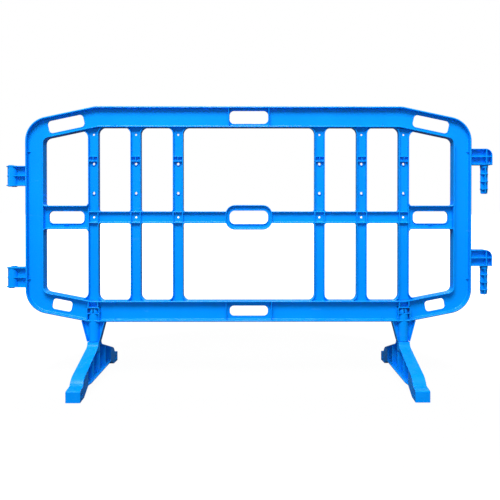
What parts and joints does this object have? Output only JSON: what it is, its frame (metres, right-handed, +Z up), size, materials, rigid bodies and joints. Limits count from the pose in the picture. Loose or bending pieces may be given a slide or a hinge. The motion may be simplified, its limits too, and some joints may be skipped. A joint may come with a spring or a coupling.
{
  "type": "pedestrian barrier panel",
  "caption": "Blue moulded crowd barrier panel with upright bars, hand-holes, link sockets and hooked pins, standing on swivelling push-fit feet.",
  "frame": {"origin": "ground level under the middle of the overall length and depth", "axes": "+X along the panel from sockets to hooks, +Y through the panel from front to back, +Z up"},
  "size_m": [2.0022, 0.55, 1.127],
  "materials": {
    "panel_plastic": "satin moulded polypropylene",
    "foot_plastic": "satin moulded polypropylene"
  },
  "bodies": {
    "panel": {"top_left_rail": "panel_plastic", "top_grip": "panel_plastic", "top_right_rail": "panel_plastic", "bottom_left_rail": "panel_plastic", "bottom_grip": "panel_plastic", "bottom_right_rail": "panel_plastic", "upper_left_corner": "panel_plastic", "upper_right_corner": "panel_plastic", "lower_left_corner": "panel_plastic", "lower_right_corner": "panel_plastic", "left_stile": "panel_plastic", "right_stile": "panel_plastic", "left_middle_rail": "panel_plastic", "centre_grip": "panel_plastic", "right_middle_rail": "panel_plastic", "left_grip": "panel_plastic", "right_grip": "panel_plastic", "upper_bar_1": "panel_plastic", "upper_bar_2": "panel_plastic", "upper_bar_3": "panel_plastic", "upper_bar_4": "panel_plastic", "upper_bar_5": "panel_plastic", "upper_bar_6": "panel_plastic", "lower_bar_1": "panel_plastic", "lower_bar_2": "panel_plastic", "lower_bar_3": "panel_plastic", "lower_bar_4": "panel_plastic", "lower_bar_5": "panel_plastic", "lower_bar_6": "panel_plastic", "upper_socket": "panel_plastic", "lower_socket": "panel_plastic", "upper_hook": "panel_plastic", "lower_hook": "panel_plastic", "upper_hook_pin": "panel_plastic", "lower_hook_pin": "panel_plastic", "left_post": "panel_plastic", "right_post": "panel_plastic"},
    "left_foot": {"left_foot": "foot_plastic"},
    "right_foot": {"right_foot": "foot_plastic"}
  },
  "joints": [
    {"name": "left_foot_swivel", "type": "hinge", "parent": "panel", "child": "left_foot", "pos_m": [-0.64138, 0, 0.159], "axis": [0, 0, 1], "range_deg": [-90, 90]},
    {"name": "right_foot_swivel", "type": "hinge", "parent": "panel", "child": "right_foot", "pos_m": [0.63862, 0, 0.159], "axis": [0, 0, 1], "range_deg": [-90, 90]}
  ]
}
